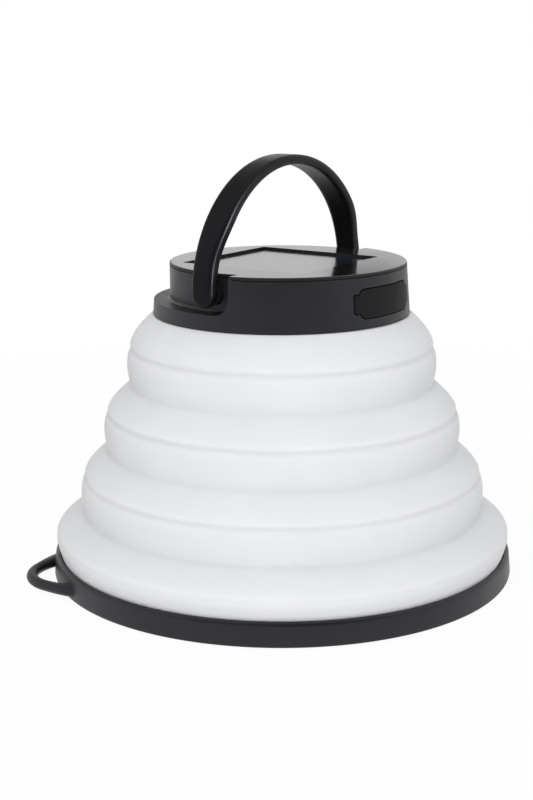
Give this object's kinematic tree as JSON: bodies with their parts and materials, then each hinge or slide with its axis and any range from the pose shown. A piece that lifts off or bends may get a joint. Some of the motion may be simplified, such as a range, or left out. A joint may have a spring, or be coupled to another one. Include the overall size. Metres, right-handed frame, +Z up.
{
  "type": "collapsible camping lantern",
  "caption": "Squat camping lantern with a folding white silicone cone, black base ring with hang loop, and a black head with solar lid, port flap and folding bail handle.",
  "frame": {"origin": "middle of the flat underside of the base, on the ground", "axes": "+Z up through the head; X along the handle's pivot axis; -Y is the front, with the port flap"},
  "size_m": [0.1472, 0.1472, 0.1315],
  "materials": {
    "black_plastic": "fine moulded texture",
    "black_lid": "satin",
    "black_handle": "satin",
    "black_button": "satin",
    "black_rubber": "matte",
    "white_silicone": "translucent matte silicone",
    "white_plastic": "matte",
    "frosted_plastic": "frosted",
    "solar_cell": "resin-coated cells",
    "foam_tape": "foam",
    "circuit_board": "solder mask",
    "led_substrate": "white mask on metal core",
    "led_lens": "phosphor",
    "switch_plastic": "matte",
    "battery_foil": "foil pouch",
    "plated_steel": "nickel plated",
    "steel": "zinc plated",
    "wire_insulation": "satin"
  },
  "bodies": {
    "base": {"base_ring": "black_plastic", "base_plate": "black_plastic", "lower_clamp_ring": "white_plastic", "base_screws": "steel", "bellows": "white_silicone"},
    "head": {"head_shell": "black_plastic", "upper_clamp_ring": "white_plastic", "clamp_screws": "steel", "top_lid": "black_lid", "lid_seal": "black_rubber", "solar_panel": "solar_cell", "panel_tape": "foam_tape", "main_board": "circuit_board", "board_screws": "steel", "usb_a_socket": "plated_steel", "micro_usb_socket": "plated_steel", "power_switch": "switch_plastic", "battery_pack": "battery_foil", "battery_pad": "foam_tape", "led_board": "led_substrate", "led_chips": "led_lens", "led_screws": "steel", "diffuser": "frosted_plastic", "panel_lead": "wire_insulation", "led_lead": "wire_insulation", "battery_lead": "wire_insulation", "flap_anchor": "black_rubber"},
    "handle": {"handle": "black_handle", "pivot_screws": "steel", "pivot_washers": "steel"},
    "flap": {"port_flap": "black_rubber"},
    "button": {"power_button": "black_button"}
  },
  "joints": [
    {"name": "collapse", "type": "slide", "parent": "base", "child": "head", "axis": [0, 0, -1], "range_m": [0, 0.058], "deforming": ["bellows"]},
    {"name": "handle_fold", "type": "hinge", "parent": "head", "child": "handle", "pos_m": [0, 0, 0.093], "axis": [-1, 0, 0], "range_deg": [-25, 90]},
    {"name": "flap_open", "type": "hinge", "parent": "head", "child": "flap", "pos_m": [0.0112, -0.03854, 0.09015], "axis": [0, 0, 1], "range_deg": [0, 110]},
    {"name": "button_press", "type": "slide", "parent": "head", "child": "button", "axis": [-0.766, 0.6428, 0], "range_m": [0, 0.0008], "stiffness_N_per_m": 1500}
  ]
}
